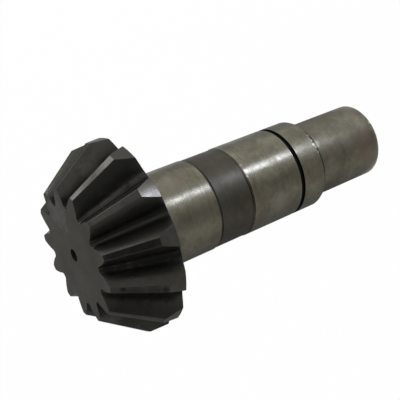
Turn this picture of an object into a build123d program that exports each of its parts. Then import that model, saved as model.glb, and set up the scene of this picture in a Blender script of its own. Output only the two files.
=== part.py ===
from build123d import *
import os
from math import acos, asin, atan, cos, pi, radians, sin, tan

os.makedirs("parts", exist_ok=True)

# A straight bevel pinion made in one piece with its shaft, standing on its tail end.
# All sizes are in millimetres. Z runs up the axis from the tail end face to the gear.

# Shaft diameters
journal_diameter = 65.0
tail_diameter = 55.0
relief_depth = 0.4
ring_groove_depth = 1.5

# Shaft lengths, in order from the tail end
tail_length = 59.0
collar_length = 20.4
ring_groove_width = 3.1
inner_journal_length = 42.5
relief_length = 27.5
outer_journal_length = 39.5

# Edges and corners of the shaft
tail_chamfer = 1.5
shoulder_chamfer = 1.0
shoulder_corner = 0.8
groove_chamfer = 0.2
relief_chamfer = 0.9
thrust_corner = 1.2

# Gear teeth, with the heights above and below the pitch cone as shares of the module
teeth = 13
mate_teeth = 21
module = 10.0
pressure_angle = 32.0
addendum_factor = 0.62
dedendum_factor = 1.02
root_rise_factor = 0.26
tooth_thinning = 2.0
tip_break = 0.5

# Gear blank, measured from the large end of the pitch cone
heel_height = 13.0
toe_height = 40.4
back_angle = 25.0
heel_overrun = 0.6
land_drop = 0.35
toe_chamfer = 0.6
cutter_overrun = 4.0

# Centre holes in both end faces
centre_pilot_diameter = 4.0
centre_cone_diameter = 8.5
centre_cone_angle = 60.0
centre_hole_depth = 9.5
drill_point_angle = 118.0

# Places along the axis
shoulder_z = tail_length
groove_z = shoulder_z + collar_length
inner_journal_z = groove_z + ring_groove_width
relief_z = inner_journal_z + inner_journal_length
outer_journal_z = relief_z + relief_length
thrust_z = outer_journal_z + outer_journal_length
pitch_z = thrust_z + heel_height
toe_z = pitch_z + toe_height

# Cones of the gear, which all meet at the apex, as angles from the axis
pitch_radius = module * teeth / 2
outer_radius = pitch_radius - land_drop
pitch_angle = atan(teeth / mate_teeth)
apex_z = pitch_z + pitch_radius / tan(pitch_angle)
cone_distance = pitch_radius / sin(pitch_angle)
face_angle = pitch_angle + atan(addendum_factor * module / cone_distance)
root_angle = pitch_angle - atan(dedendum_factor * module / cone_distance)
base_angle = asin(sin(pitch_angle) * cos(radians(pressure_angle)))
flank_start_angle = root_angle + root_rise_factor * module / cone_distance


def shaft_blank():
    """The turned shaft, from the tail end to the thrust face."""
    journal = journal_diameter / 2
    tail = tail_diameter / 2
    relief = journal - relief_depth
    groove = journal - ring_groove_depth
    outline = Polyline(
        (0, 0),
        (tail - tail_chamfer, 0),
        (tail, tail_chamfer),
        (tail, shoulder_z - shoulder_corner),
        (tail + shoulder_corner, shoulder_z),
        (journal - shoulder_chamfer, shoulder_z),
        (journal, shoulder_z + shoulder_chamfer),
        (journal, groove_z - groove_chamfer),
        (journal - groove_chamfer, groove_z),
        (groove, groove_z),
        (groove, inner_journal_z),
        (journal - groove_chamfer, inner_journal_z),
        (journal, inner_journal_z + groove_chamfer),
        (journal, relief_z - relief_chamfer),
        (relief, relief_z),
        (relief, outer_journal_z),
        (journal, outer_journal_z + relief_depth),
        (journal, thrust_z - thrust_corner),
        (journal + thrust_corner, thrust_z),
        (0, thrust_z),
        close=True,
    )
    return revolve(make_face(Plane.XZ * outline), Axis.Z)


def gear_blank():
    """The turned gear blank: thrust face, back cone, outer land, face cone and toe face."""
    land_z = pitch_z - heel_overrun
    boss_radius = outer_radius - (land_z - thrust_z) / tan(radians(back_angle))
    crest_z = apex_z - outer_radius / tan(face_angle)
    toe_radius = (apex_z - toe_z) * tan(face_angle)
    toe_crest = toe_chamfer * cos(face_angle)
    outline = Polyline(
        (0, thrust_z),
        (boss_radius, thrust_z),
        (outer_radius, land_z),
        (outer_radius, crest_z),
        (toe_radius + toe_crest * tan(face_angle), toe_z - toe_crest),
        (toe_radius - toe_chamfer, toe_z),
        (0, toe_z),
        close=True,
    )
    return revolve(make_face(Plane.XZ * outline), Axis.Z)


def involute_angle(cone_angle):
    """How far a spherical involute has turned, in radians, where it reaches this cone."""
    reached = max(cone_angle, base_angle)
    rolled = acos(min(1, cos(reached) / cos(base_angle))) / sin(base_angle)
    return rolled - acos(min(1, tan(base_angle) / tan(reached)))


def space_half_angle(cone_angle):
    """Half the angle that a tooth space takes up round the axis on this cone."""
    tooth = (pi * module / 2 - tooth_thinning) / (2 * pitch_radius)
    flank = involute_angle(pitch_angle) - involute_angle(cone_angle)
    return pi / teeth - tooth - flank


def root_points(half_width, top, bottom):
    """Points of the rounded root, on an arc of this width and height, from left to right."""
    radius = (half_width**2 + (top - bottom) ** 2) / (2 * (top - bottom))
    turn = 2 * atan((top - bottom) / half_width)
    steps = 4
    angles = [turn * (2 * i / steps - 1) for i in range(steps + 1)]
    return [(bottom + radius * (1 - cos(angle)), radius * sin(angle)) for angle in angles]


def space_section(section_z):
    """A tooth space cut square to the axis: two involute flanks and a rounded root."""
    to_apex = apex_z - section_z
    scale = to_apex / (apex_z - pitch_z)

    def flank_point(cone_angle, extra=0):
        radius = to_apex * tan(cone_angle)
        half = space_half_angle(cone_angle) + extra / radius
        return radius * cos(half), radius * sin(half)

    steps = 5
    tip_angle = face_angle - tip_break / cone_distance
    span = (tip_angle - flank_start_angle) / steps
    right = [flank_point(flank_start_angle + span * i) for i in range(steps + 1)]
    over = flank_point(2 * face_angle - tip_angle, 2 * tip_break * scale)
    mouth = (over[0] + cutter_overrun, over[1])
    left = [(x, -y) for x, y in right]
    root = root_points(right[0][1], right[0][0], to_apex * tan(root_angle))
    with BuildLine(Plane.XY.offset(section_z)) as outline:
        Spline(*right)
        Polyline(right[-1], over, mouth, (mouth[0], -mouth[1]), (over[0], -over[1]), left[-1])
        Spline(*left)
        Polyline(left[0], *root[1:-1], right[0])
    return make_face(outline.line)


def tooth_space():
    """One tooth space, tapering towards the apex, and longer than the gear at both ends."""
    small_end = space_section(toe_z + cutter_overrun)
    large_end = space_section(thrust_z)
    return loft([large_end, small_end], ruled=True)


def centre_hole(face_z, inwards):
    """A lathe centre hole: a cone that holds the centre, and a pilot with a drilled end."""
    cone = centre_cone_diameter / 2
    pilot = centre_pilot_diameter / 2
    cone_depth = (cone - pilot) / tan(radians(centre_cone_angle / 2))
    point_depth = pilot / tan(radians(drill_point_angle / 2))
    outline = Polyline(
        (0, face_z),
        (cone, face_z),
        (pilot, face_z + inwards * cone_depth),
        (pilot, face_z + inwards * centre_hole_depth),
        (0, face_z + inwards * (centre_hole_depth + point_depth)),
        close=True,
    )
    return revolve(make_face(Plane.XZ * outline), Axis.Z)


def pinion_shaft():
    """The finished shaft, with a tooth on the X axis."""
    half_pitch = 180 / teeth
    space = Rot(0, 0, half_pitch) * tooth_space()
    spaces = [Rot(0, 0, 360 / teeth * i) * space for i in range(teeth)]
    blank = shaft_blank() + gear_blank()
    holes = [centre_hole(0, 1), centre_hole(toe_z, -1)]
    return blank - spaces - holes


shaft = pinion_shaft()
shaft.label = "pinion_shaft"
export_step(shaft, "parts/pinion_shaft.step")
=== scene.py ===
import math

import bmesh
import bpy
from mathutils import Matrix, Vector
from mathutils.kdtree import KDTree


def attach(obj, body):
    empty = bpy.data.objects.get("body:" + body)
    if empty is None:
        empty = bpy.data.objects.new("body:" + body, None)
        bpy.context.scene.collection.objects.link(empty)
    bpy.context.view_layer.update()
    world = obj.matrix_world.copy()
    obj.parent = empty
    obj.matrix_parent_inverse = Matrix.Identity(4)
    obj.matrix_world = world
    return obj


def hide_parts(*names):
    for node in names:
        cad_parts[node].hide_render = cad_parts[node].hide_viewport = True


bpy.context.scene.view_settings.view_transform = "Standard"
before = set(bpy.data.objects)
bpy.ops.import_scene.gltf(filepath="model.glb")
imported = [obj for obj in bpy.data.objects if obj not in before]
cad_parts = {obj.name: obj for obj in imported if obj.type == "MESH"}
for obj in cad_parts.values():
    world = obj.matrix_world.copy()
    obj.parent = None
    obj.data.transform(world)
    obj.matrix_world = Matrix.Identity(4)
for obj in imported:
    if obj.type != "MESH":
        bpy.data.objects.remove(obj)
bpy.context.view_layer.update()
print("frame loaded")


def mm(value):  # millimetres as metres
    return value / 1000


def inMm(value):  # metres as millimetres
    return value * 1000


def tone(red, green, blue):  # a screen colour from 0 to 255, as linear light by the sRGB curve
    parts = [part / 255 for part in (red, green, blue)]
    return tuple(p / 12.92 if p <= 0.04045 else ((p + 0.055) / 1.055) ** 2.4 for p in parts) + (1,)


def around(azimuth, distance, height):  # a point round the shaft, azimuth in degrees from +X, in metres
    turn = math.radians(azimuth)
    return Vector((distance * math.cos(turn), distance * math.sin(turn), height))


def deselectAll():
    if bpy.context.object and bpy.context.object.mode != "OBJECT":
        bpy.ops.object.mode_set(mode="OBJECT")
    bpy.ops.object.select_all(action="DESELECT")


# the camera looks down on the toe end of the gear, with the shaft running away to the upper right
cameraSettings = {
    "place": (-0.086580, -0.483346, 0.420502),
    "right": (-0.454807, -0.375220, -0.807689),
    "up": (0.876531, -0.349106, -0.331389),
    "back": (-0.157625, -0.858681, 0.487668),
    "lens": 73.56,
    "sensor": 36,
    "nearest": 0.01,
}


def makeCamera():
    data = bpy.data.cameras.new("photoCamera")
    data.sensor_width = cameraSettings["sensor"]
    data.lens = cameraSettings["lens"]
    data.clip_start = cameraSettings["nearest"]
    camera = bpy.data.objects.new("photoCamera", data)
    bpy.context.collection.objects.link(camera)
    turn = Matrix([cameraSettings[side] for side in ("right", "up", "back")]).transposed()
    camera.matrix_world = Matrix.Translation(cameraSettings["place"]) @ turn.to_4x4()
    bpy.context.scene.camera = camera


makeCamera()
print("camera placed")

# the pinion shaft, in millimetres and degrees: the solid model's sizes, but for the shoulder's chamfer
pinionSettings = {
    "journal": 32.5,  # radii of the turned steps
    "tail": 27.5,
    "relief": 32.1,
    "groove": 31.0,
    "tailChamfer": 1.5,
    "shoulderCorner": 0.8,
    "shoulderChamfer": (1.3, 2.6),  # deep and long
    "grooveChamfer": 0.2,
    "reliefChamfer": 0.9,
    "thrustCorner": 1.2,
    "shoulderZ": 59.0,
    "grooveZ": 79.4,
    "innerJournalZ": 82.5,
    "reliefZ": 125.0,
    "outerJournalZ": 152.5,
    "thrustZ": 192.0,
    "teeth": 13,
    "mateTeeth": 21,  # of the gear that it runs with
    "module": 10.0,
    "pressureAngle": 32.0,
    "addendum": 6.2,
    "dedendum": 10.2,
    "rootRise": 2.6,
    "toothThinning": 2.0,
    "outerRadius": 64.65,
    "heelHeight": 13.0,
    "heelOverrun": 0.6,
    "backAngle": 25.0,  # of the back cone, from the thrust face
    "toeHeight": 40.4,
    "holeMouth": 4.25,  # the centre holes, their cone and their drilled end
    "holePilot": 2.0,
    "holeTaper": 60,
    "holeDepth": 9.5,
    "holePoint": 10.7,
    "holeEnd": 0.05,
    "toothRound": 0.3,  # edge rounding on the teeth and the toe face
    "rootRound": 0.15,  # where the roots meet the toe face
    "shaftRound": 0.22,
    "smallRound": 0.08,  # in the holes, and from the ring groove to the relief band
    "roundSegments": 3,
    "sharpAngle": 22,
    "wearWidth": 0.25,  # how far from an edge it is worn bare, and how fast that fades
    "wearReach": 0.9,
    "wearStep": 0.5,  # between the points of an edge that wear is measured from
    "highlightLandAt": -83.1,  # azimuth of the tooth whose land is made lighter and smoother, as rubbed metal and as a painted highlight where it mirrors the window strips
    "highlightLandHalf": 10,  # how far its land reaches to each side of that
    "tailRows": (20, 40, 57),  # rows of the skin between the edges
    "innerRows": (103, 123),
    "outerRows": (171,),
    "toothRows": (1, 0.965, 0.9, 0.8, 0.66, 0.5, 0.34, 0.2, 0.1, 0.035, 0),
    "toeRow": 31,  # on the toe face, inside the roots
    "endRow": 1.2,  # on the tail's end face, inside the chamfer
    "besideEdge": 1,  # a row of the skin this far from an edge
    "rootSteps": 5,
    "flankSteps": 4,
    "crestShare": 0.4,  # a row on the crest, between its middle and its edge
    "touching": 0.01,  # points nearer than this are one
    "sameAngle": 0.001,  # in radians
    "facingDown": -0.3,
}

pitchRadius = pinionSettings["module"] * pinionSettings["teeth"] / 2
pitchAngle = math.atan(pinionSettings["teeth"] / pinionSettings["mateTeeth"])
coneDistance = pitchRadius / math.sin(pitchAngle)
pitchZ = pinionSettings["thrustZ"] + pinionSettings["heelHeight"]
toeZ = pitchZ + pinionSettings["toeHeight"]
apexZ = pitchZ + pitchRadius / math.tan(pitchAngle)
faceAngle = pitchAngle + math.atan(pinionSettings["addendum"] / coneDistance)
rootAngle = pitchAngle - math.atan(pinionSettings["dedendum"] / coneDistance)
flankStart = rootAngle + pinionSettings["rootRise"] / coneDistance
landZ = pitchZ - pinionSettings["heelOverrun"]
landAngle = math.atan(pinionSettings["outerRadius"] / (apexZ - landZ))
backSlope = math.tan(math.radians(pinionSettings["backAngle"]))
bossRadius = pinionSettings["outerRadius"] - (landZ - pinionSettings["thrustZ"]) / backSlope
holeSlope = math.tan(math.radians(pinionSettings["holeTaper"] / 2))
holeCone = (pinionSettings["holeMouth"] - pinionSettings["holePilot"]) / holeSlope
reliefDepth = pinionSettings["journal"] - pinionSettings["relief"]


def involute(coneAngle):  # how far a spherical involute has turned at this cone
    base = math.asin(math.sin(pitchAngle) * math.cos(math.radians(pinionSettings["pressureAngle"])))
    reached = max(coneAngle, base)
    rolled = math.acos(min(1, math.cos(reached) / math.cos(base))) / math.sin(base)
    return rolled - math.acos(min(1, math.tan(base) / math.tan(reached)))


def toothHalf(coneAngle):  # half the angle that a tooth takes up round the axis
    thickness = math.pi * pinionSettings["module"] / 2 - pinionSettings["toothThinning"]
    return thickness / (2 * pitchRadius) + involute(pitchAngle) - involute(coneAngle)


def toothOutline():  # cone angle and turn of each point, from the middle of one space to the next
    halfPitch = math.pi / pinionSettings["teeth"]
    rootSteps, flankSteps = pinionSettings["rootSteps"], pinionSettings["flankSteps"]
    halfWidth = math.tan(flankStart) * (halfPitch - toothHalf(flankStart))
    rise = math.tan(flankStart) - math.tan(rootAngle)
    swing = 2 * math.atan(rise / halfWidth)
    radius = (halfWidth**2 + rise**2) / (2 * rise)
    points = []
    for step in range(rootSteps):  # the rounded root
        turn = swing * step / rootSteps
        across = radius * math.sin(turn)
        up = math.tan(rootAngle) + radius * (1 - math.cos(turn))
        points.append((math.atan(math.hypot(up, across)), math.atan(across / up) - halfPitch))
    for low, high in ((flankStart, landAngle), (landAngle, faceAngle)):
        for step in range(flankSteps):
            coneAngle = low + (high - low) * step / flankSteps
            points.append((coneAngle, -toothHalf(coneAngle)))
    tip = toothHalf(faceAngle)
    points += [(faceAngle, -tip), (faceAngle, -tip * pinionSettings["crestShare"])]
    points += [(coneAngle, -turn) for coneAngle, turn in reversed(points) if turn > -halfPitch]
    return points


def alongRay(coneAngle, turn, share):  # share 0 is the toe end of the tooth, 1 the heel end
    toe = (apexZ - toeZ) / math.cos(coneAngle)
    land = pinionSettings["outerRadius"] / math.sin(coneAngle)
    backCone = apexZ - landZ + pinionSettings["outerRadius"] * backSlope
    backCone /= math.cos(coneAngle) + math.sin(coneAngle) * backSlope
    reach = toe + (min(land, backCone) - toe) * share
    return reach * math.sin(coneAngle), turn, apexZ - reach * math.cos(coneAngle)


def turnedProfile():  # radius and height, from the bottom of the tail's centre hole to the boss
    p = pinionSettings
    journal, tail, beside = p["journal"], p["tail"], p["besideEdge"]
    chamferDepth, chamferLength = p["shoulderChamfer"]
    chamferZ = p["shoulderZ"] + chamferLength
    groove, lip = p["groove"], p["grooveChamfer"]
    innerZ, outerZ = p["innerJournalZ"], p["outerJournalZ"]
    return [
        (p["holeEnd"], p["holePoint"]),
        (p["holePilot"], p["holeDepth"]),
        (p["holePilot"], holeCone),
        (p["holeMouth"], 0),
        (tail - p["tailChamfer"] - p["endRow"], 0),
        (tail - p["tailChamfer"], 0),
        (tail, p["tailChamfer"]),
        (tail, p["tailChamfer"] + beside),
        *[(tail, height) for height in p["tailRows"]],
        (tail, p["shoulderZ"] - p["shoulderCorner"]),
        (tail + p["shoulderCorner"], p["shoulderZ"]),
        (journal - chamferDepth, p["shoulderZ"]),
        (journal, chamferZ),
        (journal, chamferZ + beside),
        (journal, p["grooveZ"] - lip - beside),
        (journal, p["grooveZ"] - lip),
        (journal - lip, p["grooveZ"]),
        (groove, p["grooveZ"]),
        (groove, innerZ),
        (journal - lip, innerZ),
        (journal, innerZ + lip),
        (journal, innerZ + lip + beside),
        *[(journal, height) for height in p["innerRows"]],
        (journal, p["reliefZ"] - p["reliefChamfer"]),
        (p["relief"], p["reliefZ"]),
        (p["relief"], outerZ),
        (journal, outerZ + reliefDepth),
        (journal, outerZ + reliefDepth + beside),
        *[(journal, height) for height in p["outerRows"]],
        (journal, p["thrustZ"] - p["thrustCorner"]),
        (journal + p["thrustCorner"], p["thrustZ"]),
        (bossRadius, p["thrustZ"]),
    ]


def gearRings(outline):  # back cone and land, then the teeth from heel to toe, then the toe face
    p = pinionSettings
    landEdge = []
    for coneAngle, turn in outline:
        radius, turn, height = alongRay(coneAngle, turn, 1)
        if coneAngle > landAngle:
            radius, height = p["outerRadius"], landZ
        landEdge.append((radius, turn, height))
    rings = [landEdge]
    for share in p["toothRows"]:
        rings.append([alongRay(coneAngle, turn, share) for coneAngle, turn in outline])
    for radius, height in (
        (p["toeRow"], toeZ),
        (p["holeMouth"] + p["besideEdge"], toeZ),
        (p["holeMouth"], toeZ),
        (p["holePilot"], toeZ - holeCone),
        (p["holePilot"], toeZ - p["holeDepth"]),
        (p["holeEnd"], toeZ - p["holePoint"]),
    ):
        rings.append([(radius, turn, height) for coneAngle, turn in outline])
    return rings


def placeOf(radius, turn, height):  # millimetres and radians, as a point in metres
    return Vector((mm(radius) * math.cos(turn), mm(radius) * math.sin(turn), mm(height)))


def makeShaft():
    oneTooth = toothOutline()
    teeth = pinionSettings["teeth"]
    pitch = 2 * math.pi / teeth
    outline = [(coneAngle, turn + pitch * tooth) for tooth in range(teeth) for coneAngle, turn in oneTooth]
    rings = [[(radius, turn, height) for coneAngle, turn in outline] for radius, height in turnedProfile()]
    rings += gearRings(outline)
    deselectAll()
    bpy.ops.mesh.primitive_circle_add(vertices=len(outline), radius=mm(pinionSettings["holePilot"]))
    shaft = bpy.context.object
    shaft.name = shaft.data.name = "pinionShaft"
    for vertex, point in zip(shaft.data.vertices, rings[0]):
        vertex.co = placeOf(*point)
    bpy.ops.object.mode_set(mode="EDIT")
    bpy.ops.mesh.select_all(action="SELECT")
    bpy.ops.mesh.edge_face_add()
    bpy.ops.mesh.select_mode(type="EDGE")
    shape = bmesh.from_edit_mesh(shaft.data)
    for ring in rings[1:]:  # the last ring's edges are drawn out to the next ring
        bpy.ops.mesh.extrude_edges_move()
        moved = sorted((v for v in shape.verts if v.select), key=lambda v: v.index)
        for vertex, point in zip(moved, ring):
            vertex.co = placeOf(*point)
    bpy.ops.mesh.edge_face_add()
    bpy.ops.mesh.select_all(action="SELECT")
    bpy.ops.mesh.remove_doubles(threshold=mm(pinionSettings["touching"]))
    bpy.ops.mesh.normals_make_consistent(inside=False)
    bpy.ops.object.mode_set(mode="OBJECT")
    return shaft


def radiusAndHeight(point):  # of a point on the shaft, in millimetres
    return inMm(math.hypot(point.x, point.y)), inMm(point.z)


def edgeRounding(edge):  # how much of this edge to round, in millimetres
    p = pinionSettings
    radius, height = radiusAndHeight((edge.verts[0].co + edge.verts[1].co) / 2)
    rootRadius = (apexZ - toeZ) * math.tan(flankStart)
    if radius < p["holeMouth"] + p["besideEdge"]:
        return p["smallRound"]
    if height > toeZ - p["touching"] and radius < rootRadius + p["rootRound"]:
        return p["rootRound"]
    if height > p["thrustZ"] + p["besideEdge"]:
        return p["toothRound"]
    if p["grooveZ"] - p["besideEdge"] < height < p["outerJournalZ"] + p["besideEdge"]:
        return p["smallRound"]
    return p["shaftRound"]


def markEdges(shaft):  # convex edges get a bevel weight, and hollow corners stay sharp
    sharpAngle = math.radians(pinionSettings["sharpAngle"])
    shape = bmesh.new()
    shape.from_mesh(shaft.data)
    weight = shape.edges.layers.float.new("bevel_weight_edge")
    samples = []
    for edge in shape.edges:
        if len(edge.link_faces) != 2 or edge.calc_face_angle(0) < sharpAngle:
            continue
        if edge.is_convex:
            edge[weight] = edgeRounding(edge) / pinionSettings["toothRound"]
            start, end = edge.verts[0].co, edge.verts[1].co
            steps = max(1, int((end - start).length / mm(pinionSettings["wearStep"])))
            samples += [start.lerp(end, step / steps) for step in range(steps)]
        else:
            edge.smooth = False
    shape.to_mesh(shaft.data)
    shape.free()
    return samples


def roundEdges(shaft):
    rounding = shaft.modifiers.new("edgeRound", "BEVEL")
    rounding.width = mm(pinionSettings["toothRound"])
    rounding.segments = pinionSettings["roundSegments"]
    rounding.limit_method = "WEIGHT"
    rounding.use_clamp_overlap = False
    rounding.harden_normals = True
    deselectAll()
    bpy.context.view_layer.objects.active = shaft
    shaft.select_set(True)
    bpy.ops.object.shade_smooth(keep_sharp_edges=True)
    bpy.ops.object.modifier_apply(modifier=rounding.name)


def nearEdges(shaft, samples):  # 1 on a worn edge, falling to 0 away from it, for the materials to read
    tree = KDTree(len(samples))
    for index, point in enumerate(samples):
        tree.insert(point, index)
    tree.balance()
    near = shaft.data.attributes.new("edgeNear", "FLOAT", "POINT")
    for vertex in shaft.data.vertices:
        beyond = max(0, inMm(tree.find(vertex.co)[2]) - pinionSettings["wearWidth"])
        near.data[vertex.index].value = math.exp(-beyond / pinionSettings["wearReach"])


def newGroup(name, inputs, outputs):  # inputs by name with their usual values
    group = bpy.data.node_groups.new(name, "ShaderNodeTree")
    for label, value in inputs.items():
        kind = "NodeSocketVector" if isinstance(value, tuple) else "NodeSocketFloat"
        group.interface.new_socket(label, in_out="INPUT", socket_type=kind).default_value = value
    for label in outputs:
        group.interface.new_socket(label, in_out="OUTPUT", socket_type="NodeSocketFloat")
    return group, group.nodes.new("NodeGroupInput").outputs, group.nodes.new("NodeGroupOutput").inputs


def addNode(tree, kind, inputs=(), **values):  # inputs are sockets or plain values, by name or number
    node = tree.nodes.new(kind)
    for key, value in values.items():
        setattr(node, key, value)
    for key, value in dict(inputs).items():
        if isinstance(value, bpy.types.NodeSocket):
            tree.links.new(value, node.inputs[key])
        else:
            node.inputs[key].default_value = value
    return node


def sums(tree, operation, *terms, clamp=False):  # one Math node
    node = addNode(tree, "ShaderNodeMath", dict(enumerate(terms)), operation=operation, use_clamp=clamp)
    return node.outputs[0]


def times(tree, first, second):  # one Math node that multiplies
    return sums(tree, "MULTIPLY", first, second)


def vectors(tree, operation, *terms):  # one Vector Math node
    node = addNode(tree, "ShaderNodeVectorMath", dict(enumerate(terms)), operation=operation)
    return node.outputs["Value" if operation in ("DISTANCE", "LENGTH") else "Vector"]


def combine(tree, *parts):
    return addNode(tree, "ShaderNodeCombineXYZ", dict(enumerate(parts))).outputs["Vector"]


def onPiece(tree):  # where a point is on the piece
    return addNode(tree, "ShaderNodeTexCoord").outputs["Object"]


def noise(tree, place, scale, detail, roughness=0.5, distortion=0):
    inputs = {"Vector": place, "Scale": scale, "Detail": detail}
    inputs.update({"Roughness": roughness, "Distortion": distortion})
    return addNode(tree, "ShaderNodeTexNoise", inputs).outputs["Fac"]


def ramp(tree, value, low, high, soft=False):  # 0 where the value is low and 1 where it is high
    inputs = {"Value": value, "From Min": low, "From Max": high}
    kind = "SMOOTHSTEP" if soft else "LINEAR"
    return addNode(tree, "ShaderNodeMapRange", inputs, interpolation_type=kind).outputs["Result"]


# fine lines left by turning and grinding, drawn out round the shaft
def makeTurningMarks():
    group, given, made = newGroup("turningMarks", {"Length": 50, "Fineness": 900}, ["Lines", "Broad"])
    stretch = combine(group, given["Length"], given["Length"], given["Fineness"])
    spread = vectors(group, "MULTIPLY", onPiece(group), stretch)
    group.links.new(noise(group, spread, scale=1, detail=4, roughness=0.65), made["Lines"])
    group.links.new(noise(group, spread, scale=0.22, detail=2), made["Broad"])
    return group


# soft uneven clouds of handling, oil and heat
def makeClouds():
    usual = {"Scale": 60, "Low": 0.45, "High": 0.65, "Offset": (0, 0, 0)}
    group, given, made = newGroup("clouds", usual, ["Mask"])
    moved = vectors(group, "ADD", onPiece(group), given["Offset"])
    uneven = noise(group, moved, given["Scale"], detail=6, roughness=0.6, distortion=0.4)
    group.links.new(ramp(group, uneven, given["Low"], given["High"], soft=True), made["Mask"])
    return group


# one soft spot, at its own place and size, with a ragged border: used for stains, and for painted
# highlights, glints and shade
def makeSpot():
    usual = {"Centre": (0, 0, 0), "Size": 0.01, "Ragged": 2.4, "Strength": 1}
    group, given, made = newGroup("spot", usual, ["Mask"])
    here = onPiece(group)
    share = sums(group, "DIVIDE", vectors(group, "DISTANCE", here, given["Centre"]), given["Size"])
    middling = 0.5  # what noise varies round
    rough = noise(group, here, scale=180, detail=5, roughness=0.65)
    uneven = sums(group, "SUBTRACT", rough, middling)
    border = sums(group, "ADD", share, times(group, uneven, given["Ragged"]))
    soft = ramp(group, border, low=1.05, high=0.35, soft=True)
    group.links.new(times(group, soft, given["Strength"]), made["Mask"])
    return group


# rubbed edges, broken up so that they aren't an even line
def makeEdgeWear():
    usual = {"Amount": 0.8, "Break Up": 120, "Sharpness": 1.6, "Kept": 0.25, "Lost": 0.75}
    group, given, made = newGroup("edgeWear", usual, ["Mask"])
    near = addNode(group, "ShaderNodeAttribute", attribute_name="edgeNear").outputs["Fac"]
    broken = ramp(group, noise(group, onPiece(group), given["Break Up"], detail=4), low=0.35, high=0.6)
    sharp = sums(group, "POWER", near, given["Sharpness"])
    worn = times(group, sharp, sums(group, "MULTIPLY_ADD", broken, given["Lost"], given["Kept"]))
    group.links.new(sums(group, "MULTIPLY", worn, given["Amount"], clamp=True), made["Mask"])
    return group


# fine grain of the metal, with small bright and dark flecks
def makeGrain():
    group, given, made = newGroup("grain", {"Scale": 900, "Coarser": 0.4}, ["Grain", "Flecks"])
    here = onPiece(group)
    coarse = noise(group, here, times(group, given["Scale"], given["Coarser"]), detail=3)
    group.links.new(noise(group, here, given["Scale"], detail=5, roughness=0.7), made["Grain"])
    group.links.new(ramp(group, coarse, low=0.6, high=0.72), made["Flecks"])
    return group


# marks that run along a tooth towards the apex, and how high up the tooth a point is
def makeToothMarks():
    group, given, made = newGroup("toothMarks", {"Across": 160, "Along": 9}, ["Lines", "Rise"])
    parts = addNode(group, "ShaderNodeSeparateXYZ", {0: onPiece(group)}).outputs
    toApex = sums(group, "SUBTRACT", mm(apexZ), parts["Z"])
    sideways = [sums(group, "DIVIDE", parts[axis], toApex) for axis in ("X", "Y")]
    slope = vectors(group, "LENGTH", combine(group, *sideways))
    across = [times(group, part, given["Across"]) for part in sideways]
    spread = combine(group, *across, times(group, parts["Z"], given["Along"]))
    group.links.new(noise(group, spread, scale=1, detail=4, roughness=0.6), made["Lines"])
    group.links.new(ramp(group, slope, math.tan(rootAngle), math.tan(faceAngle)), made["Rise"])
    return group


# a ring of painted shade, or of bare metal and painted glint, at one height, broken up along its way, that
# can fade out round the shaft
def makeRingMark():
    usual = {"Height": 0.1, "Width": 0.001, "Broken": 0.5, "Centre": (0, 0, 0), "Reach": 10}
    group, given, made = newGroup("ringMark", usual, ["Mask"])
    here = onPiece(group)
    height = addNode(group, "ShaderNodeSeparateXYZ", {0: here}).outputs["Z"]
    away = sums(group, "ABSOLUTE", sums(group, "SUBTRACT", height, given["Height"]))
    soft = ramp(group, sums(group, "DIVIDE", away, given["Width"]), low=1, high=0.3, soft=True)
    gaps = ramp(group, noise(group, here, scale=90, detail=4, roughness=0.6), low=0.4, high=0.58)
    whole = sums(group, "SUBTRACT", 1.0, given["Broken"])
    share = sums(group, "MULTIPLY_ADD", gaps, given["Broken"], whole)
    far = sums(group, "DIVIDE", vectors(group, "DISTANCE", here, given["Centre"]), given["Reach"])
    share = times(group, share, ramp(group, far, low=1, high=0.7))
    group.links.new(sums(group, "MULTIPLY", soft, share, clamp=True), made["Mask"])
    return group


turningMarks = makeTurningMarks()
clouds = makeClouds()
spot = makeSpot()
edgeWear = makeEdgeWear()
grain = makeGrain()
toothMarks = makeToothMarks()
ringMark = makeRingMark()


def useGroup(tree, group, inputs=()):
    return addNode(tree, "ShaderNodeGroup", inputs, node_tree=group).outputs


def blend(tree, share, low, high):  # a colour that is low where share is 0, and high where it is 1
    return addNode(tree, "ShaderNodeMix", {0: share, 6: low, 7: high}, data_type="RGBA").outputs[2]


def newMaterial(name):
    material = bpy.data.materials.new(name)
    material.use_nodes = True
    return material, material.node_tree


def spotAt(azimuth, height, radius, size, strength=1.0):  # millimetres and degrees
    centre = placeOf(radius, math.radians(azimuth), height)
    return {"Centre": centre, "Size": mm(size), "Strength": strength}


# millimetres and degrees; azimuth and reach are given where a ring doesn't go all the way round
def ringAt(height, width, broken=0.5, strength=1.0, azimuth=0, reach=10000):
    centre = placeOf(pinionSettings["journal"], math.radians(azimuth), height)
    size = {"Height": mm(height), "Width": mm(width), "Reach": mm(reach)}
    return {**size, "Centre": centre, "Broken": broken}, strength


# what the turned finishes share, where their own settings don't differ, with screen colours
turnedSettings = {
    # paleAndLitPatch: the colour of lighter patches, of pale metal and of painted light
    "paleAndLitPatch": (137, 134, 124),
    # grimeAndShade: the dark colour of grime and of painted shade in corners, steps and tooth spaces
    "grimeAndShade": (38, 35, 28),
    # glint: the colour of painted glints, highlights painted on as small spots
    "glint": (172, 168, 156),
    "grainScale": 1100,
    "streaks": (0.45, 0.75),
    "mottle": {"Scale": 210, "Low": 0.48, "High": 0.66, "Offset": (0.7, 0.3, 0.6)},
    "rustShare": 0.55,
    "mottleShare": 0.3,
    "brownShare": 0.75,
    "fleckShare": 0.25,
    "unevenRough": 0.12,  # what each effect adds to the roughness
    "brownRough": 0.12,
    "shadeRough": 0.35,
    "metal": 1.0,
    "brownDull": 0.35,  # what brown stains take off the metal
    "edgeTint": 1.0,
    "anisotropic": 0.0,
    "anisotropicTurn": 0.25,
    "stains": (),
    "paleAndLitPatches": (),
    "glints": (),
    "grimeAndShadeSpots": (),
    "shadeRings": (),
    "wornAndGlintRings": (),
}
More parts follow.
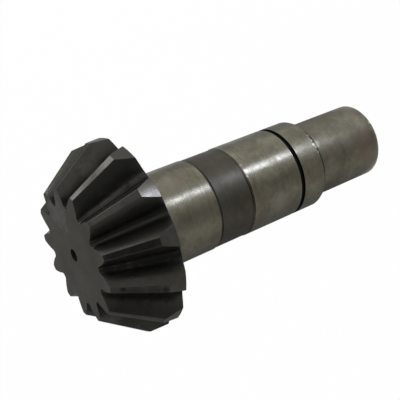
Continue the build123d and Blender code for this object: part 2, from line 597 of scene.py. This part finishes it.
# each finish; every spot, whether stain, patch, glint or painted shade, has an azimuth, a height, a radius,
# a size and a strength
journalSteel = {
    "name": "journalSteel",
    "wear": 0.4,  # how bare its edges are rubbed
    "colour": (113, 110, 97),
    "pale": (130, 127, 115),
    "dark": (94, 91, 77),
    "brown": (99, 87, 71),
    "wornEdge": (136, 133, 122),
    "roughness": (0.21, 0.32),  # least and most
    "lines": {"Length": 55, "Fineness": 950},
    "lineShare": 0.35,
    "lineHeight": 0.006,  # the relief of the lines and of the grain, in millimetres
    "grainHeight": 0.006,
    "anisotropic": 0.25,
    "clouds": {"Scale": 55, "Low": 0.42, "High": 0.66},
    "rust": {"Scale": 38, "Low": 0.56, "High": 0.72, "Offset": (0.3, 0.1, 0.2)},
    "stains": (
        spotAt(-128, 119, 32.5, 11, 0.8),
        spotAt(-160, 118, 32.5, 10, 0.8),
        spotAt(-124, 72, 32.5, 8, 0.7),
        spotAt(-150, 118, 32.5, 10, 0.8),
        spotAt(-114, 68, 32.5, 10, 0.9),
        spotAt(-66, 170, 32.5, 8, 0.4),
    ),
    "paleAndLitPatches": (spotAt(-137, 104, 32.5, 11, 0.35), spotAt(-128, 92, 32.5, 9, 0.2)),
    # painted glints: bright spots where the shoulder chamfer and the relief edge mirror the window strips
    "glints": (
        spotAt(-90, 61.0, 32.2, 1.3),
        spotAt(-86, 61.6, 32.4, 1.6),
        spotAt(-80, 61.2, 32.3, 1.0),
        spotAt(-72, 61.4, 32.4, 0.9),
        spotAt(-97, 61.2, 32.3, 0.8),
        spotAt(-84, 123.6, 32.4, 1.4, 0.5),
        spotAt(-76, 123.8, 32.4, 1.2, 0.6),
        spotAt(-92, 123.8, 32.4, 1.0, 0.6),
    ),
    # darker spots: grime and painted shade
    "grimeAndShadeSpots": (
        spotAt(-122, 66, 32.5, 11, 0.14),
        spotAt(-158, 118, 32.5, 10, 0.14),
        spotAt(-134, 118, 32.5, 9, 0.1),
    ),
    # painted shade: dark rings at the relief and thrust steps, across the shoulder chamfer and beside the
    # relief edge
    "shadeRings": (
        ringAt(124.4, 0.7, 0.3, 0.9, -140, 30),
        ringAt(153.3, 0.4, 0.7, 0.6),
        ringAt(191, 1.0, 0.5, 0.8),
        ringAt(60.3, 2.1, 0.3, 0.6),
        ringAt(60.1, 1.7, 0.1, 0.95, -95, 22),
        ringAt(120.6, 0.3, 0.9, 0.5),
    ),
    # a lighter broken ring at the relief chamfer: worn bare metal and a painted glint
    "wornAndGlintRings": (ringAt(123.7, 0.4, 0.8, 0.5),),
}
tailSteel = {
    "name": "tailSteel",
    "wear": 0.4,
    "colour": (112, 108, 95),
    "pale": (124, 120, 107),
    "dark": (96, 92, 79),
    "brown": (104, 90, 76),
    "wornEdge": (134, 131, 120),
    "roughness": (0.36, 0.46),
    "lines": {"Length": 45, "Fineness": 700},
    "lineShare": 0.3,
    "lineHeight": 0.005,
    "grainHeight": 0.008,
    "anisotropic": 0.3,
    "clouds": {"Scale": 60, "Low": 0.40, "High": 0.68, "Offset": (0.1, 0.7, 0.4)},
    "rust": {"Scale": 42, "Low": 0.56, "High": 0.74, "Offset": (0.6, 0.2, 0.5)},
    "stains": (
        spotAt(-113, 13, 27.5, 16),
        spotAt(-60, 12, 27.5, 9, 0.4),
        spotAt(-128, 15, 27.5, 10, 0.6),
        spotAt(-112, 45, 27.5, 9, 0.5),
    ),
    "paleAndLitPatches": (spotAt(-128, 50, 27.5, 10, 0.25), spotAt(-128, 8, 27.5, 9, 0.2)),
    # painted glints below the shoulder where the window strips are mirrored, and a bright spot on the end's
    # rim
    "glints": (
        spotAt(-87, 55.8, 27.5, 2.8, 0.45),
        spotAt(-83, 54.0, 27.5, 2.6, 0.35),
        spotAt(-84, 1.8, 27.5, 1.6),
    ),
    # darker spots: grime and painted shade
    "grimeAndShadeSpots": (
        spotAt(-46, 4, 27.5, 13, 0.16),
        spotAt(-38, 14, 27.5, 13, 0.12),
        spotAt(-112, 12, 27.5, 15, 0.1),
        spotAt(-114, 36, 27.5, 12, 0.08),
    ),
    # painted shade in a line just under the shoulder
    "shadeRings": (ringAt(58.2, 1.0, 0.4, 0.45),),
    # a lighter broken ring at the end's chamfer: worn bare metal and a painted glint
    "wornAndGlintRings": (ringAt(1.0, 0.6, 0.6, 0.6),),
}
bandSteel = {
    "name": "bandSteel",
    "wear": 0.5,
    "colour": (75, 72, 62),
    "pale": (84, 81, 75),
    "dark": (67, 64, 56),
    "brown": (72, 64, 54),
    "wornEdge": (86, 83, 79),
    "roughness": (0.40, 0.48),
    "lines": {"Length": 40, "Fineness": 600},
    "lineShare": 0.3,
    "lineHeight": 0.006,
    "grainHeight": 0.014,
    "anisotropic": 0.2,
    "clouds": {"Scale": 70, "Low": 0.40, "High": 0.70},
    "rust": {"Scale": 60, "Low": 0.55, "High": 0.75, "Offset": (0.2, 0.5, 0.9)},
    # painted shade along both edges of the band, where it steps down from the journals
    "shadeRings": (
        ringAt(125.3, 0.7, 0.7, 0.6),
        ringAt(125.3, 0.9, 0.3, 1.0, -137, 34),
        ringAt(151.8, 0.9, 0.5, 0.4),
        ringAt(151.8, 1.0, 0.3, 0.9, -125, 46),
    ),
}
blankSteel = {
    "name": "blankSteel",
    "wear": 0.12,
    "colour": (65, 64, 62),
    "pale": (71, 70, 68),
    "dark": (58, 57, 55),
    "brown": (52, 50, 47),
    "wornEdge": (84, 83, 80),
    "roughness": (0.26, 0.36),
    "lines": {"Length": 40, "Fineness": 500},
    "lineShare": 0.3,
    "lineHeight": 0.004,
    "grainHeight": 0.010,
    "clouds": {"Scale": 60, "Low": 0.40, "High": 0.70, "Offset": (0.9, 0.4, 0.1)},
    "rust": {"Scale": 50, "Low": 0.60, "High": 0.78, "Offset": (0.4, 0.8, 0.2)},
    # this spot darkens the middle of tooth 4's crest as painted shade, between its painted highlights
    "stains": (spotAt(-56.2, 232, 54, 9),),
    # painted highlights along the crests of teeth 4 and 5
    "paleAndLitPatches": (
        spotAt(-56, 243, 46.3, 6, 0.6),
        spotAt(-56.3, 219, 62.6, 9, 0.9),
        spotAt(-83.5, 239, 49, 9, 0.8),
        spotAt(-83, 229, 56, 10, 0.8),
        spotAt(-83, 221, 61.5, 7, 0.5),
    ),
    "paleAndLitPatch": (75, 74, 70),
    # painted shade: darker crests on the teeth turned away from the light
    "grimeAndShadeSpots": (
        spotAt(-111, 239, 49, 9, 0.55),
        spotAt(-111, 229, 56, 10, 0.55),
        spotAt(-111, 221, 61.5, 7, 0.55),
        spotAt(-138.5, 233, 53, 9, 0.5),
        spotAt(-138.5, 224, 59.5, 7, 0.45),
        spotAt(-137, 239, 49, 2.8),
        spotAt(-138.5, 218.5, 63.2, 2.8, 0.8),
        spotAt(-192, 231, 55, 12, 0.35),
        spotAt(-192, 220, 62, 14, 0.45),
    ),
}
toeSteel = {
    "name": "toeSteel",
    "wear": 0.2,
    "colour": (67, 66, 61),
    "pale": (73, 72, 68),
    "dark": (63, 62, 57),
    "brown": (58, 55, 50),
    "wornEdge": (76, 75, 71),
    "roughness": (0.42, 0.50),
    "lines": {"Length": 120, "Fineness": 120},
    "lineShare": 0.15,
    "lineHeight": 0.002,
    "grainHeight": 0.010,
    "edgeTint": 0.6,
    "clouds": {"Scale": 40, "Low": 0.30, "High": 0.75, "Offset": (0.9, 0.4, 0.1)},
    "rust": {"Scale": 50, "Low": 0.66, "High": 0.84, "Offset": (0.4, 0.8, 0.2)},
    # a painted pool of light on the side of the toe face towards the softbox
    "paleAndLitPatches": (spotAt(-14, 245.4, 28, 15, 0.8),),
    "paleAndLitPatch": (84, 83, 80),
}
flankSteel = {
    "name": "flankSteel",
    "wear": 0.05,
    "colour": (59, 58, 53),
    "pale": (69, 68, 62),
    "dark": (54, 53, 48),
    # root: the colour of the painted shade in the tooth roots
    "root": (42, 41, 36),
    "paintedLight": (72, 71, 66),
    # grimeAndShade: the colour of the painted shade in the tooth spaces and root slots
    "grimeAndShade": (28, 27, 24),
    "brown": (72, 64, 54),
    "wornEdge": (84, 83, 79),
    "roughness": (0.26, 0.40),
    "metal": 0.8,
    "lines": {"Across": 170, "Along": 9},
    "lineShare": 0.6,
    "streaks": (0.5, 0.8),
    "rootShadeFade": (0.35, 0.05),  # how high up the tooth the painted shade in the roots reaches
    "brownShare": 0.8,
    "brownDull": 0.25,
    "shadeRough": 0.2,
    "grainScale": 1000,
    "lineHeight": 0.010,
    "grainHeight": 0.008,
    "clouds": {"Scale": 65, "Low": 0.42, "High": 0.68, "Offset": (0.5, 0.5, 0.7)},
    "stains": (spotAt(-22, 222, 52, 16, 0.6), spotAt(-26, 238, 42, 8, 0.4)),
    # painted light on the roots and flank tops that face the light
    "paintedLightSpots": (
        spotAt(-73, 236, 38.5, 8, 0.5),
        spotAt(-75, 227, 44.5, 12, 0.8),
        spotAt(-75, 218, 49.5, 13, 0.6),
        spotAt(-75, 208, 55.0, 13, 0.6),
        spotAt(-33, 210, 60, 13, 0.35),
        spotAt(-36, 223, 47.5, 8, 0.6),
    ),
    # painted shade down the tooth spaces and in the root slots at the toe
    "grimeAndShadeSpots": (
        spotAt(-124.6, 240, 36.5, 6),
        spotAt(-124.6, 233, 40, 6),
        spotAt(-124.6, 226, 43.5, 7),
        spotAt(-124.6, 219, 47, 7),
        spotAt(-124.6, 212, 51, 8),
        spotAt(-124.6, 205, 54.5, 8),
        spotAt(-124.6, 199, 57.5, 6, 0.8),
        spotAt(-151, 232, 42, 8, 0.8),
        spotAt(-151, 222, 48, 9, 0.8),
        spotAt(-151, 211, 53, 9, 0.8),
        spotAt(-157, 228, 48, 16, 0.45),
        spotAt(-187, 229, 54, 12, 0.5),
        spotAt(-187, 218, 61, 15, 0.5),
        spotAt(-34, 245, 33.5, 5),
        spotAt(-3, 244.5, 36.5, 5, 0.8),
        spotAt(-11, 244, 35.5, 7),
        spotAt(-39, 244, 34.5, 7),
        spotAt(17, 244, 36, 6, 0.7),
        spotAt(148, 244, 36, 7),
        spotAt(175.5, 244, 36, 7),
    ),
}
landSteel = {
    **blankSteel,
    "name": "landSteel",
    "colour": (71, 69, 66),
    "pale": (77, 75, 72),
    "dark": (65, 63, 60),
    "brown": (66, 61, 54),
    "stains": (),
    "paleAndLitPatches": (spotAt(-113, 208, 64.7, 7, 0.5),),
    "paleAndLitPatch": (84, 82, 78),
    # painted shade on the land of the tooth turned away from the light
    "grimeAndShadeSpots": (spotAt(-138.5, 209, 64.7, 9, 0.2),),
}
# a lighter, smoother land on the tooth that faces the window strips: rubbed bright, and a painted highlight
polishedHighlightLand = {
    **blankSteel,
    "name": "polishedHighlightLand",
    "colour": (91, 88, 81),
    "pale": (100, 97, 89),
    "dark": (83, 80, 74),
    "brown": (86, 83, 76),
    "wornEdge": (114, 112, 105),
    "roughness": (0.19, 0.26),
    "lineShare": 0.2,
    "stains": (),
    "paleAndLitPatches": (),
    "grimeAndShadeSpots": (),
}
# near black: painted shade in the groove and the centre holes
holeShade = {
    "name": "holeShade",
    "pale": (11, 10, 9),
    "dark": (9, 9, 8),
    "roughness": (0.6, 0.75),
    "clouds": {"Scale": 400},
    "cloudHeight": 0.02,
    "specular": 0.1,
}


def ringMask(tree, rings):
    mask = 0.0
    for place, strength in rings:
        ring = times(tree, useGroup(tree, ringMark, place)["Mask"], strength)
        mask = sums(tree, "MAXIMUM", mask, ring)
    return mask


def spotMask(tree, stains, mask=0.0):
    for place in stains:
        mask = sums(tree, "MAXIMUM", mask, useGroup(tree, spot, place)["Mask"])
    return mask


def addColours(tree, settings, layers):  # each colour covers the ones before it where its mask is 1
    colour = tone(*settings["dark"])
    for mask, name in layers:
        colour = blend(tree, mask, colour, tone(*settings[name]))
    tree.links.new(colour, tree.nodes["Principled BSDF"].inputs["Base Color"])


def addBumps(tree, *bumps):  # each is a pattern and its height in millimetres
    inputs = {"Strength": 1}
    for pattern, height in bumps:
        inputs.update({"Distance": mm(height), "Height": pattern})
        inputs["Normal"] = addNode(tree, "ShaderNodeBump", inputs).outputs["Normal"]
    tree.links.new(inputs["Normal"], tree.nodes["Principled BSDF"].inputs["Normal"])


def turnedFinish(ownSettings):
    settings = {**turnedSettings, **ownSettings}
    material, tree = newMaterial(settings["name"])
    shader = tree.nodes["Principled BSDF"]
    marks = useGroup(tree, turningMarks, settings["lines"])
    grainy = useGroup(tree, grain, {"Scale": settings["grainScale"]})
    cloudy = useGroup(tree, clouds, settings["clouds"])["Mask"]
    mottled = useGroup(tree, clouds, settings["mottle"])["Mask"]
    rusty = times(tree, useGroup(tree, clouds, settings["rust"])["Mask"], settings["rustShare"])
    brown = spotMask(tree, settings["stains"], rusty)
    streaky = ramp(tree, marks["Lines"], *settings["streaks"])
    # the rings of painted shade
    paintedShadeRings = ringMask(tree, settings["shadeRings"])
    layers = (
        (cloudy, "colour"),
        (times(tree, streaky, settings["lineShare"]), "pale"),
        (times(tree, mottled, settings["mottleShare"]), "pale"),
        (times(tree, brown, settings["brownShare"]), "brown"),
        (times(tree, grainy["Flecks"], settings["fleckShare"]), "pale"),
        (useGroup(tree, edgeWear, {"Amount": settings["wear"]})["Mask"], "wornEdge"),
        # the pale patches, worn rings and glints below include painted light; the dark rings and spots
        # below are painted shade
        (spotMask(tree, settings["paleAndLitPatches"]), "paleAndLitPatch"),
        (ringMask(tree, settings["wornAndGlintRings"]), "wornEdge"),
        (paintedShadeRings, "grimeAndShade"),
        (spotMask(tree, settings["grimeAndShadeSpots"]), "grimeAndShade"),
        (spotMask(tree, settings["glints"]), "glint"),
    )
    addColours(tree, settings, layers)
    smooth, rough = settings["roughness"]
    uneven = settings["unevenRough"]
    dull = sums(tree, "MULTIPLY_ADD", cloudy, smooth - rough, rough - uneven / 2)
    dull = sums(tree, "MULTIPLY_ADD", marks["Broad"], uneven, dull)
    dull = sums(tree, "MULTIPLY_ADD", brown, settings["brownRough"], dull)
    dull = sums(tree, "MULTIPLY_ADD", paintedShadeRings, settings["shadeRough"], dull)
    tree.links.new(dull, shader.inputs["Roughness"])
    metal = sums(tree, "MULTIPLY_ADD", brown, -settings["brownDull"], settings["metal"])
    tree.links.new(metal, shader.inputs["Metallic"])
    addBumps(tree, (marks["Lines"], settings["lineHeight"]), (grainy["Grain"], settings["grainHeight"]))
    shader.inputs["Specular Tint"].default_value = (settings["edgeTint"],) * 3 + (1,)
    if settings["anisotropic"]:
        shader.inputs["Anisotropic"].default_value = settings["anisotropic"]
        shader.inputs["Anisotropic Rotation"].default_value = settings["anisotropicTurn"]
        tangent = addNode(tree, "ShaderNodeTangent", direction_type="RADIAL", axis="Z")
        tree.links.new(tangent.outputs["Tangent"], shader.inputs["Tangent"])
    return material


def cutFinish(settings):  # the tooth flanks and roots
    material, tree = newMaterial(settings["name"])
    shader = tree.nodes["Principled BSDF"]
    marks = useGroup(tree, toothMarks, settings["lines"])
    grainy = useGroup(tree, grain, {"Scale": settings["grainScale"]})
    cloudy = useGroup(tree, clouds, settings["clouds"])["Mask"]
    brown = spotMask(tree, settings["stains"])
    # the spots of painted shade in the spaces and slots
    paintedShadeSpots = spotMask(tree, settings["grimeAndShadeSpots"])
    layers = (
        (cloudy, "colour"),
        (times(tree, ramp(tree, marks["Lines"], *settings["streaks"]), settings["lineShare"]), "pale"),
        # painted shade darkening the roots
        (ramp(tree, marks["Rise"], *settings["rootShadeFade"]), "root"),
        (times(tree, brown, settings["brownShare"]), "brown"),
        (useGroup(tree, edgeWear, {"Amount": settings["wear"]})["Mask"], "wornEdge"),
        (spotMask(tree, settings["paintedLightSpots"]), "paintedLight"),
        (paintedShadeSpots, "grimeAndShade"),
    )
    addColours(tree, settings, layers)
    smooth, rough = settings["roughness"]
    dull = sums(tree, "MULTIPLY_ADD", cloudy, smooth - rough, rough)
    dull = sums(tree, "MULTIPLY_ADD", paintedShadeSpots, settings["shadeRough"], dull)
    tree.links.new(dull, shader.inputs["Roughness"])
    metal = sums(tree, "MULTIPLY_ADD", brown, -settings["brownDull"], settings["metal"])
    tree.links.new(metal, shader.inputs["Metallic"])
    addBumps(tree, (marks["Lines"], settings["lineHeight"]), (grainy["Grain"], settings["grainHeight"]))
    return material


def darkFinish(settings):  # the groove and the centre holes, painted near black as the shade in those recesses
    material, tree = newMaterial(settings["name"])
    shader = tree.nodes["Principled BSDF"]
    cloudy = useGroup(tree, clouds, settings["clouds"])["Mask"]
    addColours(tree, settings, [(cloudy, "pale")])
    smooth, rough = settings["roughness"]
    tree.links.new(sums(tree, "MULTIPLY_ADD", cloudy, smooth - rough, rough), shader.inputs["Roughness"])
    addBumps(tree, (cloudy, settings["cloudHeight"]))
    shader.inputs["Specular IOR Level"].default_value = settings["specular"]
    return material


finishes = {  # in the order of the shaft's material slots
    "journal": turnedFinish(journalSteel),
    "tail": turnedFinish(tailSteel),
    "band": turnedFinish(bandSteel),
    "blank": turnedFinish(blankSteel),
    "flank": cutFinish(flankSteel),
    "hole": darkFinish(holeShade),
    "toe": turnedFinish(toeSteel),
    "polishedHighlightLand": turnedFinish(polishedHighlightLand),
    "land": turnedFinish(landSteel),
}
print("finishes made")


def finishOf(shaft, face):  # which finish a face has, by its place on the plain shape
    p = pinionSettings
    radius, height = radiusAndHeight(face.center)
    if radius < p["holeMouth"]:
        return "hole"
    if height < p["shoulderZ"] - p["touching"]:
        return "tail"
    if p["grooveZ"] - p["grooveChamfer"] < height < p["innerJournalZ"] + p["grooveChamfer"]:
        return "hole"
    if p["reliefZ"] - reliefDepth < height < p["outerJournalZ"] + reliefDepth:
        return "band"
    if height < p["thrustZ"] - p["touching"]:
        return "journal"
    if height > toeZ - p["touching"]:
        return "toe"
    corners = [radiusAndHeight(shaft.data.vertices[index].co) for index in face.vertices]
    if min(radius for radius, height in corners) > p["outerRadius"] - p["touching"]:
        azimuth = math.degrees(math.atan2(face.center.y, face.center.x))
        return "polishedHighlightLand" if abs(azimuth - p["highlightLandAt"]) < p["highlightLandHalf"] else "land"
    lowest = min(math.atan2(radius, apexZ - height) for radius, height in corners)
    onCrest, onBack = lowest > faceAngle - p["sameAngle"], face.normal.z < p["facingDown"]
    return "blank" if onCrest or onBack else "flank"


shaft = makeShaft()
for finish in finishes.values():
    shaft.data.materials.append(finish)
slotOrder = list(finishes)
for face in shaft.data.polygons:
    face.material_index = slotOrder.index(finishOf(shaft, face))
edgeSamples = markEdges(shaft)
roundEdges(shaft)
nearEdges(shaft, edgeSamples)
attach(shaft, "root")
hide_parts("pinion_shaft")
print("shaft modelled, faces", len(shaft.data.polygons))

# the studio: a white floor and world, one large softbox, low strips and grey cards for the metal to mirror
floorSettings = {"size": 16, "colour": 0.88, "roughness": 0.9, "glow": 0.985}
worldSettings = {"light": 0.6}
lampSettings = {
    "keySoftbox": {"place": around(-9, 1.2, 0.72), "aim": (0, 0, 0.18), "size": (0.66, 0.8), "watts": 6.4},
}
# the window's mirror image along the shaft, as strips on the floor: distance, width, length and watts
windowSettings = {
    "azimuth": -73,
    "height": 0.004,
    "colour": (0.70, 0.76, 1.0),
    "strips": (
        (0.058, 0.07, 0.056, 0.0052),
        (0.100, 0.06, 0.018, 0.011),
        (0.167, 0.034, 0.050, 0.067),
        (0.220, 0.034, 0.060, 0.060),
        (0.320, 0.036, 0.14, 0.163),
        (0.480, 0.055, 0.18, 0.610),
    ),
}
for number, (distance, width, length, watts) in enumerate(windowSettings["strips"]):
    lampSettings["windowStrip%d" % number] = {
        "place": around(windowSettings["azimuth"], distance, windowSettings["height"]),
        "size": (width, length),
        "watts": watts,
        "colour": windowSettings["colour"],
    }
# what the metal mirrors, by azimuth, as a share of white on each ring of corners of the cards
floorTones = (
    (85, 0.35, 0.3, 0.35, 0.6),
    (100, 0.17, 0.15, 0.17, 0.4),
    (120, 0.15, 0.14, 0.15, 0.5),
    (140, 0.19, 0.26, 0.29, 1.1),
    (160, 0.31, 0.38, 0.43, 1.3),
    (180, 0.47, 0.53, 0.5, 2.0),
    (200, 0.73, 0.7, 0.6, 1.1),
    (220, 0.71, 0.48, 0.36, 1.5),
    (240, 0.45, 0.37, 0.35, 1.2),
    (258, 0.54, 0.68, 0.63, 1.8),
    (270, 0.91, 0.93, 0.98, 0.9),
    (285, 1.05, 0.85, 1.0, 0.5),
    (305, 0.92, 0.95, 0.93, 0.55),
    (325, 0.85, 1.15, 1.02, 0.95),
    (343, 0.7, 1.2, 1.09, 1.4),
    (355, 0.58, 1.0, 0.92, 1.3),
    (366, 0.43, 0.72, 0.62, 1.1),
    (380, 0.27, 0.5, 0.43, 1.0),
    (400, 0.22, 0.57, 0.57, 1.0),
    (445, 0.2, 0.35, 0.38, 0.6),
)
screenTones = (
    (98, 0.42, 0.42, 0.43, 0.5),
    (130, 0.42, 0.46, 0.46, 0.45),
    (155, 0.3, 0.4, 0.42, 0.42),
    (170, 0.12, 0.25, 0.35, 0.42),
    (182, 0.2, 0.55, 0.4, 0.4),
    (192, 0.3, 1.5, 1.7, 0.5),
    (203, 0.2, 1.1, 1.3, 0.4),
    (213, 0.06, 0.25, 0.5, 0.2),
    (228, 0.06, 0.06, 0.25, 0.05),
    (240, 0.14, 0.12, 0.06, 0.05),
    (252, 0.22, 0.13, 0.2, 0.1),
    (266, 0.4, 0.35, 0.38, 0.35),
    (278, 0.95, 1, 1, 0.8),
)
sideTones = (
    (280, 1, 1, 1, 0.9),
    (300, 0.8, 0.86, 0.5, 0.85),
    (318, 0.45, 0.65, 0.1, 0.8),
    (332, 0.6, 0.55, 0.7, 1),
    (347, 0.6, 0.3, 0.9, 1),
    (360, 0.4, 0.3, 0.7, 1),
    (380, 0.2, 0.15, 0.6, 1),
    (405, 0.35, 0.35, 0.7, 1),
    (420, 0.6, 0.6, 0.9, 1),
)
cardSettings = {  # rings are the radius and height of each row of corners, in metres
    "floorCard": {"tones": floorTones, "rings": [(radius, 0.002) for radius in (0.029, 0.2, 0.4, 1.2)]},
    "screenCard": {"tones": screenTones, "rings": [(1.2, height) for height in (0, 0.5, 1.0, 2.6)]},
    "sideCard": {"tones": sideTones, "rings": [(1.7, height) for height in (0, 0.6, 1.3, 2.4)]},
}
white = (1, 1, 1, 1)
cardWhite = (1, 1, 0.98, 1)


def seenByRays(tree):  # 1 for what the camera sees, also by way of metal or glass
    rays = addNode(tree, "ShaderNodeLightPath").outputs
    seen = sums(tree, "MAXIMUM", rays["Is Camera Ray"], rays["Is Glossy Ray"])
    return sums(tree, "MAXIMUM", seen, rays["Is Transmission Ray"])


def mixShaders(tree, share, low, high, target):  # low where share is 0, and high where it is 1
    mix = addNode(tree, "ShaderNodeMixShader", {0: share, 1: low, 2: high})
    tree.links.new(mix.outputs["Shader"], tree.nodes[target].inputs["Surface"])


def makeFloor():
    deselectAll()
    bpy.ops.mesh.primitive_plane_add(size=floorSettings["size"], location=(0, 0, 0))
    floor = bpy.context.object
    floor.name = "floor"
    material, tree = newMaterial("paleFloor")
    shader = tree.nodes["Principled BSDF"]
    shader.inputs["Base Color"].default_value = (floorSettings["colour"],) * 3 + (1,)
    shader.inputs["Roughness"].default_value = floorSettings["roughness"]
    glow = addNode(tree, "ShaderNodeEmission", {"Color": white, "Strength": 1})
    share = times(tree, seenByRays(tree), floorSettings["glow"])
    mixShaders(tree, share, shader.outputs["BSDF"], glow.outputs["Emission"], "Material Output")
    floor.data.materials.append(material)


def makeWorld():
    world = bpy.data.worlds.new("studio")
    bpy.context.scene.world = world
    world.use_nodes = True
    tree = world.node_tree
    dim = tree.nodes["Background"]
    dim.inputs["Color"].default_value = white
    dim.inputs["Strength"].default_value = worldSettings["light"]
    seen = addNode(tree, "ShaderNodeBackground", {"Color": white, "Strength": 1})
    dimmed, plain = dim.outputs["Background"], seen.outputs["Background"]
    mixShaders(tree, seenByRays(tree), dimmed, plain, "World Output")


def makeLamp(name, settings):
    data = bpy.data.lights.new(name, "AREA")
    data.shape = "RECTANGLE"
    data.size, data.size_y = settings["size"]
    data.energy = settings["watts"]
    data.color = settings.get("colour", white[:3])
    lamp = bpy.data.objects.new(name, data)
    bpy.context.collection.objects.link(lamp)
    lamp.location = settings["place"]
    if "aim" in settings:
        direction = Vector(settings["aim"]) - settings["place"]
        lamp.rotation_mode = "QUATERNION"
        lamp.rotation_quaternion = direction.to_track_quat("-Z", "Y")
    else:  # it lies on the floor and faces up, with its length pointing at the shaft
        outwards = math.atan2(settings["place"].y, settings["place"].x)
        lamp.rotation_euler = (math.pi, 0, outwards + math.pi / 2)
    lamp.visible_camera = False


def makeCard(name, settings):
    rings = settings["rings"]
    count = len(rings)
    corners = []
    values = []
    for azimuth, *tones in settings["tones"]:
        corners += [tuple(around(azimuth, radius, height)) for radius, height in rings]
        values += tones
    faces = []
    for column in range(len(settings["tones"]) - 1):
        for row in range(count - 1):
            first = column * count + row
            faces.append((first, first + 1, first + count + 1, first + count))
    data = bpy.data.meshes.new(name)
    data.from_pydata(corners, [], faces)
    data.attributes.new("cardTone", "FLOAT", "POINT").data.foreach_set("value", values)
    card = bpy.data.objects.new(name, data)
    bpy.context.collection.objects.link(card)
    material, tree = newMaterial(name)
    share = addNode(tree, "ShaderNodeAttribute", attribute_name="cardTone").outputs["Fac"]
    glow = addNode(tree, "ShaderNodeEmission", {"Color": cardWhite, "Strength": share})
    tree.links.new(glow.outputs["Emission"], tree.nodes["Material Output"].inputs["Surface"])
    tree.nodes.remove(tree.nodes["Principled BSDF"])
    data.materials.append(material)
    card.visible_camera = card.visible_shadow = card.visible_diffuse = False


makeFloor()
makeWorld()
for name, settings in lampSettings.items():
    makeLamp(name, settings)
for name, settings in cardSettings.items():
    makeCard(name, settings)
print("studio made")
